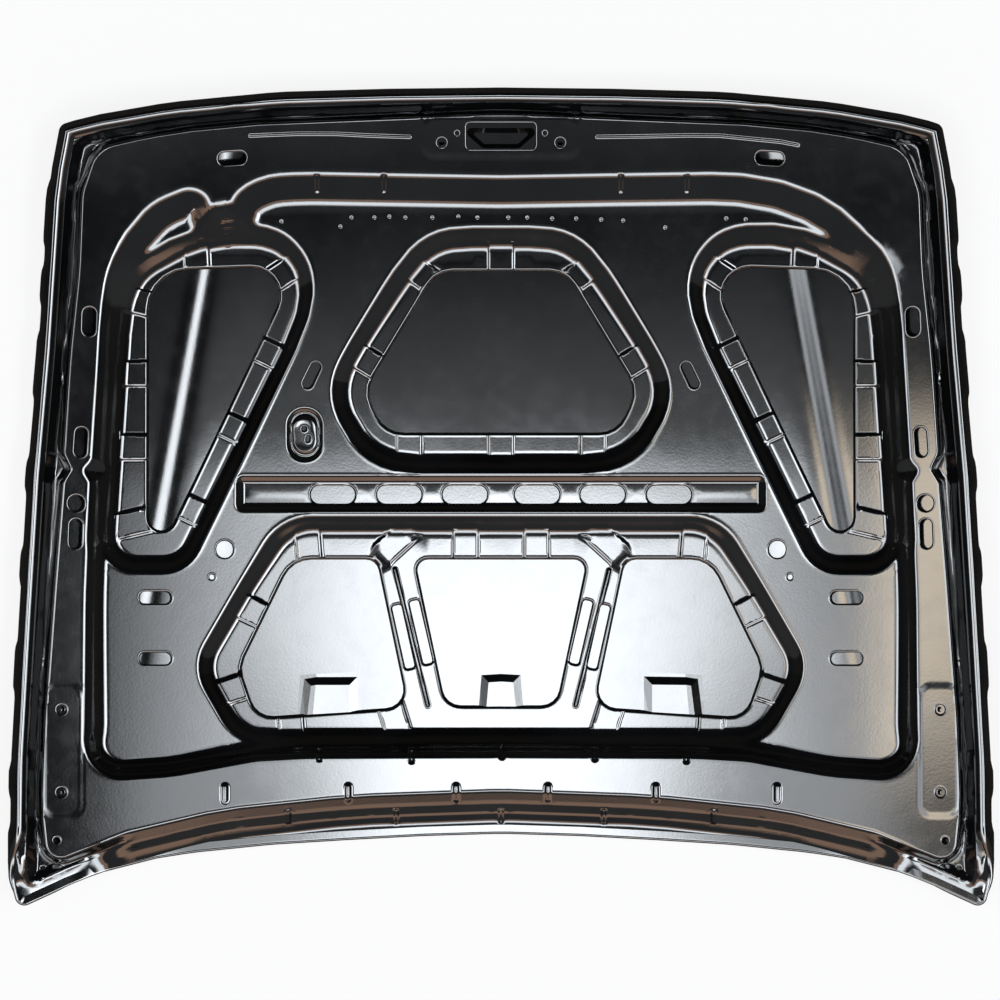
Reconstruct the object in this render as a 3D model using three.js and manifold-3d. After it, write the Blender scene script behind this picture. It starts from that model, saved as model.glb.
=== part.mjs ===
// A car bonnet lying on its outer face, seen from the inner side: an outer skin, a pressed inner
// panel with pockets and openings, reinforcements, weld nuts and the mastic drops between the sheets.
// Millimetres. X runs across the car, +Y to the front, +Z away from the skin.
import * as THREE from "three";
import Module from "manifold-3d";

const wasm = await Module();
wasm.setup();

// Overall sizes
const WIDTH = 1492;
const LENGTH = 1248.6;
const CROWN_ACROSS = 52; // rise of the skin from the middle to a side edge
const CROWN_FRONT = 46; // rise from the middle to the front edge
const CROWN_REAR = 22; // rise from the middle to the rear corners

// Sheets and the gap where two pieces touch
const SKIN_THICKNESS = 0.8;
const PANEL_THICKNESS = 0.7;
const PLATE_THICKNESS = 1.5;
const REAR_SHEET_THICKNESS = 1.0;
const SEAT_GAP = 0.3;
const HEM_GAP = 0.9; // play between the folded strip and the panel's edge, filled with sealant

// Rim of the skin: a flank that leans inwards to the fold, and the return that grips the panel
const LIP_HEIGHT = 25;
const LIP_LEAN = 16;
const LIP_FOLD_WIDTH = 9;
const REAR_HEM_WIDTH = 13.5;
const LIP_FADE = 80; // stretch of the side, from the rear corner, over which the lip dies out
const CREASE_DEPTH = 2.5;
const CREASE_AT_MIDDLE = 514; // distance of the skin's crease from the centre line, halfway along
const CREASE_TAPER = 0.181;

// Heights of the pressed panel's levels above the skin
const CHANNEL_LIFT = SEAT_GAP + PANEL_THICKNESS;
const RAIL_LIFT = 38;
const LEDGE_LIFT = 18;
const PLATEAU_LIFT = 21;
const FLANGE_LIFT = 5;
const BAR_DEPTH = 8;
const WALL_SPREAD = 1.06; // run of a pocket's wall for each millimetre of its depth
const BOSS_DEPTH = 5;
const HINGE_SEAT_RISE = 1; // height of the flat seats above the rail at their middle
const LATCH_SEAT_RISE = 2;

// Edge of the panel: how far inside the skin's edge it ends, and its climb from the channel to the fold
const PANEL_REAR_INSET = 3.5;
const PANEL_FOLD_PLAY = 3; // from the fold's inner face to the panel's cut edge
const LIP_SLOPE = 0.92;
const PANEL_TRIM_INSET = LIP_LEAN + PANEL_FOLD_PLAY;
const FOLD_GRIP = (SKIN_THICKNESS + HEM_GAP) * Math.hypot(1, LIP_SLOPE);
const PANEL_EDGE_LIFT = LIP_HEIGHT - FOLD_GRIP - PANEL_FOLD_PLAY * LIP_SLOPE;
const PANEL_FOOT_INSET = PANEL_TRIM_INSET + (PANEL_EDGE_LIFT - CHANNEL_LIFT) / LIP_SLOPE;

// Holes
const SLOT_LENGTH = 67.6;
const SLOT_WIDTH = 27.4;
const HINGE_BOLT_HOLE = 13.7;
const LATCH_BOLT_HOLE = 13;
const STRIKER_LENGTH = 101.5;
const STRIKER_WIDTH = 35.7;
const NUT_RADIUS = 11;
const NUT_HEIGHT = 8;
const NUT_BORE_RADIUS = 4.2;
const MASTIC_RADIUS = 8;
const TROUGH_DEPTH = 14; // depth of the striker reinforcement's middle under its rim
const REAR_SHEET_LIFT = 3.4;
const REAR_TAB_RUN = 12; // length of the bent-down border of the rear sheet and its tabs

// Fineness of the faceted surfaces
const ARC_STEP = THREE.MathUtils.degToRad(42);
const LONGEST_EDGE = 300;
const GRID_ROWS = 8;
const REAR_RUN_OUT = 30; // reach past the rear edge of the body that cuts the channel free
const CLIMB_RUN_OUT = 8; // how far the face of the panel's climb goes on past its two ends
const GRID_MARGIN = 50; // reach of the surface grid past the part's edges
const HOLE_SIDES = 8;
// The middle columns of the grid end on the crease, the outer ones at the side.
const INNER_COLUMNS = 4;
const OUTER_COLUMNS = 3;
const FAR = 400; // reach of the cutting bodies past the part

// The outlines below are drawn for this width and length and stretch with the overall sizes.
const DRAWN_WIDTH = 1492;
const DRAWN_LENGTH = 1248.6;
const across = (x) => (x * WIDTH) / DRAWN_WIDTH;
const along = (y) => (y * LENGTH) / DRAWN_LENGTH;

// Outlines: corners as x, y, corner radius. A half outline runs from the front to the rear on +X.
const EDGE_HALF = [
  [0, 624],
  [170, 622],
  [340, 617],
  [503, 601],
  [628, 579],
  [669, 566, 14],
  [686, 478],
  [703, 225],
  [720, 32],
  [733, -190],
  [744, -398],
  [746, -575],
  [734, -624.6, 14],
  [640, -582],
  [560, -554],
  [471, -540],
  [350, -528],
  [235, -521],
  [120, -515],
  [0, -511.5],
];
const RAIL_HALF = [
  [0, 583],
  [418, 566],
  [535, 548],
  [612, 530, 45],
  [635, 462, 60],
  [640, 346],
  [654, 217],
  [664, 68, 20],
  [653, 45, 10],
  [665, 25, 20],
  [678, -140],
  [692, -337],
  [697, -470],
  [688, -556, 24],
  [567, -508, 60],
  [423, -474],
  [228, -454],
  [0, -446],
];
const LEDGE_HALF = [
  [0, -420],
  [560, -470, 20],
  [660, -548, 12],
  [567, -521, 80],
  [423, -500],
  [228, -485],
  [0, -478],
];
const PLATEAU_HALF = [
  [0, 487],
  [179, 490],
  [330, 493, 200],
  [470, 478, 160],
  [571, 396, 160],
  [604, 285, 130],
  [610, 149],
  [615, 60, 12],
  [632, 42, 8],
  [621, 24, 12],
  [628, -155],
  [630, -422, 36],
  [567, -421, 100],
  [374, -391, 100],
  [300, -385],
  [0, -384],
];
const TRIANGLE = [
  [240, 417, 85],
  [520, 419, 90],
  [587, 318, 60],
  [589, 225],
  [601, 42],
  [611, -112, 52],
  [478, -112, 60],
  [300, 246, 220],
];
const TRIANGLE_OPENING = [
  [312, 353, 42],
  [536, 345, 62],
  [537, -118, 20],
];
const TRAPEZOID_HALF = [
  [0, 412],
  [120, 412, 85],
  [268, 158, 48],
  [200, 42.5, 70],
  [0, 42.5],
];
const TRAPEZOID_OPENING_HALF = [
  [0, 345],
  [98, 345, 42],
  [206, 166, 26],
  [178, 100, 38],
  [0, 100],
];
const LOWER_HALF = [
  [0, -27],
  [335, -27, 85],
  [470, -257, 70],
  [405, -369, 75],
  [0, -369],
];
const SIDE_WINDOW = [
  [190, -94, 20],
  [143, -318, 28],
  [372, -334, 34],
  [398, -258, 40],
  [318, -94, 46],
];
const MIDDLE_WINDOW_HALF = [
  [0, -94],
  [131, -94, 16],
  [84, -316, 28],
  [0, -316],
];
// Narrow windows in the ribs: the ends of each one's centre line
const RIB_WINDOWS = [
  [159.5, -164, 138.5, -259],
  [133, -157, 111, -252],
];
const RIB_WINDOW_WIDTH = 14;
const BAR_HALF = [
  [0, 33],
  [402, 33, 10],
  [402, -19, 10],
  [0, -19],
];
const SLOT_CENTRES = [55, 155, 256];
const BAR_SLOT_Y = 5.3;

// Slots on both sides: x, y, length, width, angle in degrees
const SIDE_SLOTS = [
  [526, -151.5, 48.6, 18.2, 0],
  [526, -244, 48.6, 18.2, 0],
  [288, 187, 42.5, 15, -64],
  [625, 268, 42.6, 19, 92],
  [638, 85, 44, 17.5, 94],
  [646, -54, 44, 18, 92],
  [408, 516, 42, 18.5, -4],
];
// Round holes on both sides: x, y, diameter
const SIDE_HOLES = [
  [420.5, -78, 26],
  [440, -120, 8],
  [645, -7.6, 24],
  [674, -519, 8],
  [696, -563, 6],
  [66.7, 554.5, 4.6],
];
const HINGE_BOLTS = [-321, -446.5];
const HINGE_X = 667;
const LATCH_BOLT_X = 90;
const LATCH_BOLT_Y = 540;
const STRIKER_Y = 550;
// Flat seats for the hinges and the latch, and the places where they touch the crown's slope
const HINGE_SEAT = [
  [641, -478, 12],
  [689, -478, 12],
  [689, -289, 12],
  [641, -289, 12],
];
const LATCH_SEAT = [
  [-112, 524, 10],
  [112, 524, 10],
  [112, 574, 10],
  [-112, 574, 10],
];
const HINGE_SEAT_MIDDLE = [665, -383.5];
const LATCH_SEAT_MIDDLE = [0, 549];
const SEAT_WALL = 4; // height of a seat's slanting side
const PROP_BOSS = [-298.7, 96.5];
const PROP_BOSS_WIDTH = 53;
const PROP_BOSS_LENGTH = 80;
const PROP_DISC = 34;

// Mastic drops under the pockets' flanges: x, y. Those of the first list lie on both sides.
const MASTIC_PAIRS = {
  mastic_triangle: [
    [554, 300],
    [555, 190],
    [558, 78],
    [563, -38],
    [352, 220],
    [406, 106],
    [466, -20],
    [464, 376],
    [333, 342],
  ],
  mastic_trapezoid: [
    [140, 80],
    [132, 349],
    [207, 211],
  ],
  mastic_lower: [
    [294, -69],
    [164, -69],
    [54, -69],
    [378, -172],
    [416, -294],
    [320, -343],
    [163, -335],
  ],
};
const MASTIC_MIDDLE = {
  mastic_trapezoid_front: [0, 370],
  mastic_trapezoid_rear: [0, 80],
};
const HINGE_PLATE = [
  [639, -490, 6],
  [686, -490, 6],
  [686, -280, 6],
  [639, -280, 6],
];
const STRIKER_PLATE = [
  [-150, 508, 10],
  [150, 508, 10],
  [150, 572, 10],
  [-150, 572, 10],
];
const STRIKER_TROUGH_HALF = [
  [0, 562],
  [62, 562, 6],
  [28, 532, 6],
  [0, 532],
];
const REAR_SHEET_HALF = [
  [0, -278],
  [22, -278],
  [26, -395],
  [232, -395],
  [226, -280],
  [292, -284],
  [300, -400],
  [350, -455],
  [0, -455],
];

const lerp = THREE.MathUtils.lerp;

// Height of the skin's smooth crown above its lowest point, the same for every level of the panel
function crown(x, y) {
  const side = x / (WIDTH / 2);
  const end = y / (LENGTH / 2);
  return CROWN_ACROSS * side ** 2 + (y > 0 ? CROWN_FRONT : CROWN_REAR) * end ** 2;
}

const creaseX = (y) => across(CREASE_AT_MIDDLE) - CREASE_TAPER * y;

// X of a column of the surface grid
function gridColumn(column, y) {
  const c = Math.abs(column);
  const crease = creaseX(y);
  const share = (c - INNER_COLUMNS) / OUTER_COLUMNS;
  const outer = lerp(crease, WIDTH / 2 + GRID_MARGIN, share);
  const x = c <= INNER_COLUMNS ? (crease * c) / INNER_COLUMNS : outer;
  return Math.sign(column) * x;
}

const GRID_HALF_LENGTH = LENGTH / 2 + GRID_MARGIN;
const gridY = (row) => lerp(-GRID_HALF_LENGTH, GRID_HALF_LENGTH, row / GRID_ROWS);

// Height of the faceted crown at a place, for seating a piece between two sheets
function facetHeight(x, y) {
  const row = Math.floor(((y + GRID_HALF_LENGTH) / (2 * GRID_HALF_LENGTH)) * GRID_ROWS);
  let column = -INNER_COLUMNS - OUTER_COLUMNS;
  while (gridColumn(column + 1, y) < x) column++;
  const corner = (c, r) => new THREE.Vector3(gridColumn(c, gridY(r)), gridY(r), 0);
  const [a, b] = [corner(column, row), corner(column + 1, row)];
  const [d, c] = [corner(column, row + 1), corner(column + 1, row + 1)];
  for (const p of [a, b, c, d]) p.z = crown(p.x, p.y);
  const upper = (x - a.x) * (c.y - a.y) < (y - a.y) * (c.x - a.x);
  const plane = new THREE.Plane().setFromCoplanarPoints(a, upper ? c : b, upper ? d : c);
  const { normal, constant } = plane;
  return { height: -(normal.x * x + normal.y * y + constant) / normal.z, normal };
}

function manifoldOf(vertices, triangles) {
  return new wasm.Manifold(
    new wasm.Mesh({
      numProp: 3,
      vertProperties: new Float32Array(vertices.flat()),
      triVerts: new Uint32Array(triangles.flat()),
    }),
  );
}

// The solid between a crowned surface and a flat plane far above or below it
function slab(lift, far) {
  const half = INNER_COLUMNS + OUTER_COLUMNS;
  const columns = 2 * half;
  const top = [];
  for (let row = 0; row <= GRID_ROWS; row++) {
    const y = gridY(row);
    for (let column = -half; column <= half; column++) {
      const x = gridColumn(column, y);
      top.push([x, y, crown(x, y) + lift(column)]);
    }
  }
  const vertices = [...top, ...top.map(([x, y]) => [x, y, far])];
  const triangles = [];
  const quad = (a, b, c, d) => triangles.push([a, b, c], [a, c, d]);
  const index = (row, column) => row * (columns + 1) + column;
  const below = top.length;
  for (let row = 0; row < GRID_ROWS; row++)
    for (let column = 0; column < columns; column++) {
      const [a, b] = [index(row, column), index(row, column + 1)];
      const [d, c] = [index(row + 1, column), index(row + 1, column + 1)];
      quad(a, b, c, d);
      quad(d + below, c + below, b + below, a + below);
    }
  for (let column = 0; column < columns; column++) {
    const [a, b] = [index(0, column), index(0, column + 1)];
    const [c, d] = [index(GRID_ROWS, column), index(GRID_ROWS, column + 1)];
    quad(a + below, b + below, b, a);
    quad(c, d, d + below, c + below);
  }
  for (let row = 0; row < GRID_ROWS; row++) {
    const [a, b] = [index(row, 0), index(row + 1, 0)];
    const [c, d] = [index(row, columns), index(row + 1, columns)];
    quad(a, b, b + below, a + below);
    quad(c + below, d + below, d, c);
  }
  if (far > 0) triangles.forEach((t) => t.reverse());
  return manifoldOf(vertices, triangles);
}

const levels = new Map();
// Everything under the crowned surface at a height above the skin
function below(lift) {
  if (!levels.has(lift)) levels.set(lift, slab(() => lift, -FAR));
  return levels.get(lift);
}

const creased = (column) => (Math.abs(column) === INNER_COLUMNS ? -CREASE_DEPTH : 0);

// Both halves of an outline drawn on the +X side
function whole(half) {
  const left = half.filter(([x]) => x > 0).map(([x, ...rest]) => [-x, ...rest]);
  return [...half, ...left.reverse()];
}

const mirrored = (list) => list.map(([x, ...rest]) => [-x, ...rest]).reverse();

// An outline ready for offsets: every ring made from it has the same number of points.
function outline(list) {
  const area = list.reduce((sum, [x, y], i) => {
    const [u, v] = list[(i + 1) % list.length];
    return sum + x * v - u * y;
  }, 0);
  const ordered = area > 0 ? list : [...list].reverse();
  const corners = ordered.map(([x, y, r = 0]) => ({ x: across(x), y: along(y), r }));
  corners.forEach((corner, i) => {
    const before = corners.at(i - 1);
    const after = corners[(i + 1) % corners.length];
    const [ax, ay] = direction(before, corner);
    const [bx, by] = direction(corner, after);
    const dot = ax * bx + ay * by;
    corner.miter = [(ay + by) / (1 + dot), -(ax + bx) / (1 + dot)];
    corner.steps = corner.r ? Math.round(Math.abs(turn(ax, ay, bx, by)) / ARC_STEP) : 0;
    corner.pieces = Math.ceil(Math.hypot(after.x - corner.x, after.y - corner.y) / LONGEST_EDGE);
  });
  return corners;
}

function direction(from, to) {
  const length = Math.hypot(to.x - from.x, to.y - from.y);
  return [(to.x - from.x) / length, (to.y - from.y) / length];
}

const turn = (ax, ay, bx, by) => Math.atan2(ax * by - ay * bx, ax * bx + ay * by);

// The points of an outline grown by a distance, which may differ from corner to corner
function ring(corners, grow = 0) {
  const moved = corners.map((corner) => {
    const distance = typeof grow === "function" ? grow(corner) : grow;
    const [mx, my] = corner.miter;
    return { x: corner.x + mx * distance, y: corner.y + my * distance, distance };
  });
  const points = [];
  corners.forEach((corner, i) => {
    const here = moved[i];
    const before = moved.at(i - 1);
    const after = moved[(i + 1) % moved.length];
    const [ax, ay] = direction(before, here);
    const [bx, by] = direction(here, after);
    const angle = turn(ax, ay, bx, by);
    const room = 0.48 * Math.min(
      Math.hypot(here.x - before.x, here.y - before.y),
      Math.hypot(here.x - after.x, here.y - after.y),
    );
    const wanted = Math.max(1, corner.r + Math.sign(angle) * here.distance);
    const tangent = Math.min(room, wanted * Math.tan(Math.abs(angle) / 2));
    for (let step = 0; step <= corner.steps; step++) {
      if (!corner.steps) points.push([here.x, here.y]);
      else points.push(arcPoint(here, [ax, ay], [bx, by], tangent, angle, step / corner.steps));
    }
    for (let piece = 1; piece < corner.pieces; piece++) {
      const share = piece / corner.pieces;
      points.push([lerp(here.x, after.x, share), lerp(here.y, after.y, share)]);
    }
  });
  return points;
}

// A point of the arc that touches both sides of a corner at the tangent length
function arcPoint(corner, [ax, ay], [bx, by], tangent, angle, share) {
  if (Math.abs(angle) < 1e-4) {
    const s = (share - 0.5) * tangent;
    return [corner.x + ax * s, corner.y + ay * s];
  }
  const radius = tangent / Math.tan(angle / 2);
  const startX = corner.x - ax * tangent;
  const startY = corner.y - ay * tangent;
  const swept = angle * share;
  return [
    startX + radius * (ax * Math.sin(swept) - ay * (1 - Math.cos(swept))),
    startY + radius * (ay * Math.sin(swept) + ax * (1 - Math.cos(swept))),
  ];
}

// A closed body through rings of equal count, given from the lowest to the highest
function loft(rings) {
  const count = rings[0].length;
  const triangles = [];
  const cap = (k) =>
    THREE.ShapeUtils.triangulateShape(rings[k].map(([x, y]) => new THREE.Vector2(x, y)), []);
  for (const t of cap(0)) triangles.push([t[2], t[1], t[0]]);
  const last = rings.length - 1;
  for (const t of cap(last)) triangles.push(t.map((v) => v + last * count));
  for (let k = 0; k < last; k++)
    for (let i = 0; i < count; i++) {
      const j = (i + 1) % count;
      const [a, b, c, d] = [k * count + i, k * count + j, (k + 1) * count + j, (k + 1) * count + i];
      triangles.push([a, b, c], [a, c, d]);
    }
  return manifoldOf(rings.flat(), triangles);
}

const flat = (points, z) => points.map(([x, y]) => [x, y, z]);
const crowned = (points, lift) => points.map(([x, y]) => [x, y, crown(x, y) + lift]);

// An upright body of one outline, for cutting and trimming
const upright = (corners, grow = 0) => loft([flat(ring(corners, grow), -FAR), flat(ring(corners, grow), FAR)]);

// A body whose wall leans from one offset at a low level to another at a high level
function leaning(corners, lowGrow, lowLift, highGrow, highLift) {
  const low = ring(corners, lowGrow);
  const high = ring(corners, highGrow);
  return loft([flat(low, -FAR), crowned(low, lowLift), crowned(high, highLift), flat(high, FAR)]);
}

const WALL_RUN_OUT = 3; // how far a wall's face goes on past its two levels
// Shift of a wall's far side that keeps the sheet's thickness on the slope
const wallShift = (spread, down) => down * (Math.hypot(1, spread) - spread);

// What is pressed away above a floor level; the outline is drawn at the reference level.
function pocket(corners, floor, reference, high, down, spread = WALL_SPREAD) {
  const shift = wallShift(spread, down);
  const lowGrow = (floor - WALL_RUN_OUT - reference) * spread + shift;
  const highGrow = (high + WALL_RUN_OUT - reference) * spread + shift;
  const walls = leaning(
    corners,
    lowGrow,
    floor - WALL_RUN_OUT - down,
    highGrow,
    high + WALL_RUN_OUT - down,
  );
  return walls.subtract(below(floor - down));
}

// What stands up to a top level; the outline is drawn at that level.
function raised(corners, top, foot, down, spread) {
  const shift = wallShift(spread, down);
  const lowGrow = (top - foot + WALL_RUN_OUT) * spread - shift;
  const highGrow = -WALL_RUN_OUT * spread - shift;
  const walls = leaning(
    corners,
    lowGrow,
    foot - WALL_RUN_OUT - down,
    highGrow,
    top + WALL_RUN_OUT - down,
  );
  return walls.intersect(below(top - down));
}

// Share of the side lip at a corner of the edge: none along the rear, all of it past the fade
const rearLine = EDGE_HALF.slice(12).map(([x, y]) => [across(x), along(y)]);
function lipShare({ x, y }) {
  const side = Math.abs(x);
  let rear = rearLine[0][1];
  for (let i = 1; i < rearLine.length; i++) {
    const [x0, y0] = rearLine[i - 1];
    const [x1, y1] = rearLine[i];
    if (side <= x0 && side >= x1) rear = lerp(y1, y0, (side - x1) / (x0 - x1));
  }
  return THREE.MathUtils.smoothstep(y - rear, 1, LIP_FADE);
}

const edge = outline(whole(EDGE_HALF));
// A ring of the rim: how far in from the edge and how high, for the rear hem and for the side lip
function rimRing(rearInset, rearLift, lipInset, lipLift) {
  const points = ring(edge, (corner) => -lerp(rearInset, lipInset, lipShare(corner)));
  return points.map(([x, y]) => {
    const lift = lerp(rearLift, lipLift, lipShare({ x, y }));
    return [x, y, crown(x, y) + lift];
  });
}

// Outer skin
function skin() {
  const t = SKIN_THICKNESS;
  const hemTop = CHANNEL_LIFT + HEM_GAP + t;
  const outer = loft([
    flat(rimRing(11, 0, 20, 0), -FAR),
    rimRing(11, -t - 0.2, 20, -t - 1.4),
    rimRing(1.4, -t + 0.3, 5, 1),
    rimRing(0, 0.4, 0, 6),
    rimRing(1, hemTop, LIP_LEAN, LIP_HEIGHT),
  ]).intersect(slab((c) => creased(c) - t, FAR));
  const inner = loft([
    flat(rimRing(12, 0, 21, 0), -FAR),
    rimRing(12, -1, 21, -1.6),
    rimRing(1.8, 0.2, 5 + t * 0.4, 1 + t),
    rimRing(0.8, 0.5, t, 6 + t * 0.2),
    rimRing(1 + t, hemTop, LIP_LEAN + t * 1.2, LIP_HEIGHT + 0.2),
    flat(rimRing(1 + t, 0, LIP_LEAN + t * 1.2, 0), FAR),
  ]).intersect(slab(creased, FAR));
  return outer.subtract(inner).add(hemReturn(hemTop));
}

// The folded-over strip: flat along the rear, sloping down the panel's edge at the sides and front
function hemReturn(hemTop) {
  const t = SKIN_THICKNESS;
  const end = LIP_LEAN + LIP_FOLD_WIDTH;
  const drop = LIP_FOLD_WIDTH * LIP_SLOPE;
  const rings = [
    rimRing(0.8, hemTop - t, LIP_LEAN + 0.2, LIP_HEIGHT - 1.3),
    rimRing(0.8, hemTop, LIP_LEAN + 0.1, LIP_HEIGHT - 0.2),
    rimRing(REAR_HEM_WIDTH, hemTop, end, LIP_HEIGHT - drop),
    rimRing(REAR_HEM_WIDTH, hemTop - t, end - 0.5, LIP_HEIGHT - drop - 1),
  ];
  return band(rings);
}

// A closed band round the part whose section's corners are the rings, in order
function band(rings) {
  const count = rings[0].length;
  const triangles = [];
  for (let k = 0; k < rings.length; k++) {
    const next = (k + 1) % rings.length;
    for (let i = 0; i < count; i++) {
      const j = (i + 1) % count;
      const [a, b, c, d] = [k * count + i, k * count + j, next * count + j, next * count + i];
      triangles.push([a, b, c], [a, c, d]);
    }
  }
  return manifoldOf(rings.flat(), triangles);
}

// The space above the channel that runs round the panel between the rail and the fold
function channel(down) {
  const shift = -wallShift(1 / LIP_SLOPE, down);
  const run = CLIMB_RUN_OUT / LIP_SLOPE;
  const foot = [PANEL_FOOT_INSET + run + shift, CHANNEL_LIFT - CLIMB_RUN_OUT - down];
  const head = [PANEL_TRIM_INSET - run + shift, PANEL_EDGE_LIFT + CLIMB_RUN_OUT - down];
  const rings = [
    rimRing(-REAR_RUN_OUT, 0, ...foot),
    rimRing(-REAR_RUN_OUT - CLIMB_RUN_OUT, REAR_RUN_OUT, ...head),
  ];
  return loft([flat(rings[0], -FAR), ...rings, flat(rings[1], FAR)]).subtract(below(CHANNEL_LIFT - down));
}

// A flat seat on the rail: a plane that touches the crown's slope at the seat's middle
function seat(list, middle, rise, down) {
  const [x0, y0] = [across(middle[0]), along(middle[1])];
  const slopeX = (2 * CROWN_ACROSS * x0) / (WIDTH / 2) ** 2;
  const slopeY = (2 * (y0 > 0 ? CROWN_FRONT : CROWN_REAR) * y0) / (LENGTH / 2) ** 2;
  const plane = (points, lift) =>
    points.map(([x, y]) => [x, y, crown(x0, y0) + lift + slopeX * (x - x0) + slopeY * (y - y0)]);
  const corners = outline(list);
  const shift = wallShift(1, down);
  const foot = ring(corners, SEAT_WALL - shift);
  const top = ring(corners, -shift);
  return loft([
    plane(foot, RAIL_LIFT - SEAT_WALL - down),
    plane(foot, RAIL_LIFT + rise - SEAT_WALL - down),
    plane(top, RAIL_LIFT + rise - down),
  ]);
}

// Everything below the pressed panel's face; "down" is the sheet's thickness for its far side.
function die(down) {
  const rail = outline(whole(RAIL_HALF));
  const ledge = outline(whole(LEDGE_HALF));
  let body = slab(() => FAR / 2, -FAR).subtract(channel(down));
  body = body.add(raised(ledge, LEDGE_LIFT, CHANNEL_LIFT, down, 0.95));
  body = body.add(raised(rail, RAIL_LIFT, CHANNEL_LIFT, down, 0.3));
  const plateau = outline(whole(PLATEAU_HALF));
  body = body.subtract(pocket(plateau, PLATEAU_LIFT, RAIL_LIFT, RAIL_LIFT, down));
  const deep = [TRIANGLE, mirrored(TRIANGLE), whole(TRAPEZOID_HALF), whole(LOWER_HALF)];
  for (const list of deep)
    body = body.subtract(pocket(outline(list), FLANGE_LIFT, PLATEAU_LIFT, RAIL_LIFT, down));
  const bar = outline(whole(BAR_HALF));
  body = body.subtract(pocket(bar, PLATEAU_LIFT - BAR_DEPTH, PLATEAU_LIFT, PLATEAU_LIFT, down, 1));
  body = body.subtract(propBoss(down));
  body = body.add(seat(HINGE_SEAT, HINGE_SEAT_MIDDLE, HINGE_SEAT_RISE, down));
  body = body.add(seat(mirrored(HINGE_SEAT), [-HINGE_SEAT_MIDDLE[0], HINGE_SEAT_MIDDLE[1]], HINGE_SEAT_RISE, down));
  return body.add(seat(LATCH_SEAT, LATCH_SEAT_MIDDLE, LATCH_SEAT_RISE, down));
}

// The sunk oval round the raised disc that takes the prop
function propBoss(down) {
  const [x, y] = PROP_BOSS;
  const oval = slot(x, y, PROP_BOSS_LENGTH, PROP_BOSS_WIDTH, 90);
  const sunk = pocket(outline(oval), PLATEAU_LIFT - BOSS_DEPTH, PLATEAU_LIFT, PLATEAU_LIFT, down, 0.9);
  const disc = outline(circle(x, y, PROP_DISC));
  return sunk.subtract(raised(disc, PLATEAU_LIFT, PLATEAU_LIFT - BOSS_DEPTH, down, 0.5));
}

// A slot with round ends
function slot(x, y, length, width, degrees) {
  const angle = THREE.MathUtils.degToRad(degrees);
  const [c, s] = [Math.cos(angle), Math.sin(angle)];
  const [a, b] = [length / 2, width / 2];
  const corners = [
    [-a, -b],
    [a, -b],
    [a, b],
    [-a, b],
  ];
  return corners.map(([u, v]) => [x + u * c - v * s, y + u * s + v * c, b * 0.999]);
}

function circle(x, y, diameter) {
  const points = [];
  for (let i = 0; i < HOLE_SIDES; i++) {
    const angle = (2 * Math.PI * (i + 0.5)) / HOLE_SIDES;
    points.push([x + (diameter / 2) * Math.cos(angle), y + (diameter / 2) * Math.sin(angle)]);
  }
  return points;
}

const both = (lists) => lists.flatMap((list) => [list, mirrored(list)]);

// Every opening that is cut through the panel
function openings() {
  const lists = [
    whole(TRAPEZOID_OPENING_HALF),
    whole(MIDDLE_WINDOW_HALF),
    ...both([TRIANGLE_OPENING, SIDE_WINDOW]),
    ...both(RIB_WINDOWS.map(ribWindow)),
    ...both(SLOT_CENTRES.map((x) => slot(x, BAR_SLOT_Y, SLOT_LENGTH, SLOT_WIDTH, 0))),
    ...both(SIDE_SLOTS.map((s) => slot(...s))),
    ...both(SIDE_HOLES.map((h) => circle(...h))),
    ...both(HINGE_BOLTS.map((y) => circle(HINGE_X, y, HINGE_BOLT_HOLE))),
    ...both([circle(LATCH_BOLT_X, LATCH_BOLT_Y, LATCH_BOLT_HOLE)]),
    slot(0, STRIKER_Y, STRIKER_LENGTH, STRIKER_WIDTH, 0).map(([x, y]) => [x, y, 4]),
    circle(PROP_BOSS[0] - 1, PROP_BOSS[1] + 9, 7),
    circle(PROP_BOSS[0] + 5, PROP_BOSS[1] - 6, 7),
  ];
  return wasm.Manifold.union(lists.map((list) => upright(outline(list))));
}

function ribWindow([x0, y0, x1, y1]) {
  const length = Math.hypot(x1 - x0, y1 - y0);
  const angle = THREE.MathUtils.radToDeg(Math.atan2(y1 - y0, x1 - x0));
  const corners = slot((x0 + x1) / 2, (y0 + y1) / 2, length, RIB_WINDOW_WIDTH, angle);
  return corners.map(([x, y]) => [x, y, 4]);
}

function innerPanel() {
  const sheet = die(0).subtract(die(PANEL_THICKNESS));
  const trimPoints = ring(edge, (corner) => -lerp(PANEL_REAR_INSET, PANEL_TRIM_INSET, lipShare(corner)));
  const trim = loft([flat(trimPoints, -FAR), flat(trimPoints, FAR)]);
  return sheet.intersect(trim).subtract(openings());
}

const group = new THREE.Group();
const coated = new THREE.MeshStandardMaterial({ color: 0x14161a, roughness: 0.28, metalness: 0.1 });
function addSolid(name, solid, material = coated) {
  const mesh = solid.getMesh();
  const positions = new Float32Array(mesh.numVert * 3);
  for (let i = 0; i < mesh.numVert; i++)
    for (let k = 0; k < 3; k++) positions[3 * i + k] = mesh.vertProperties[mesh.numProp * i + k];
  const geometry = new THREE.BufferGeometry();
  geometry.setAttribute("position", new THREE.BufferAttribute(positions, 3));
  geometry.setIndex(new THREE.BufferAttribute(mesh.triVerts, 1));
  geometry.computeVertexNormals();
  const piece = new THREE.Mesh(geometry, material);
  piece.name = name;
  group.add(piece);
}

// A flat-topped plate under the rail, with a gap to it
function railPlate(list, holes) {
  const top = RAIL_LIFT - PANEL_THICKNESS - SEAT_GAP;
  const plate = upright(outline(list)).intersect(below(top)).subtract(below(top - PLATE_THICKNESS));
  return plate.subtract(wasm.Manifold.union(holes.map((hole) => upright(outline(hole)))));
}

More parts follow.
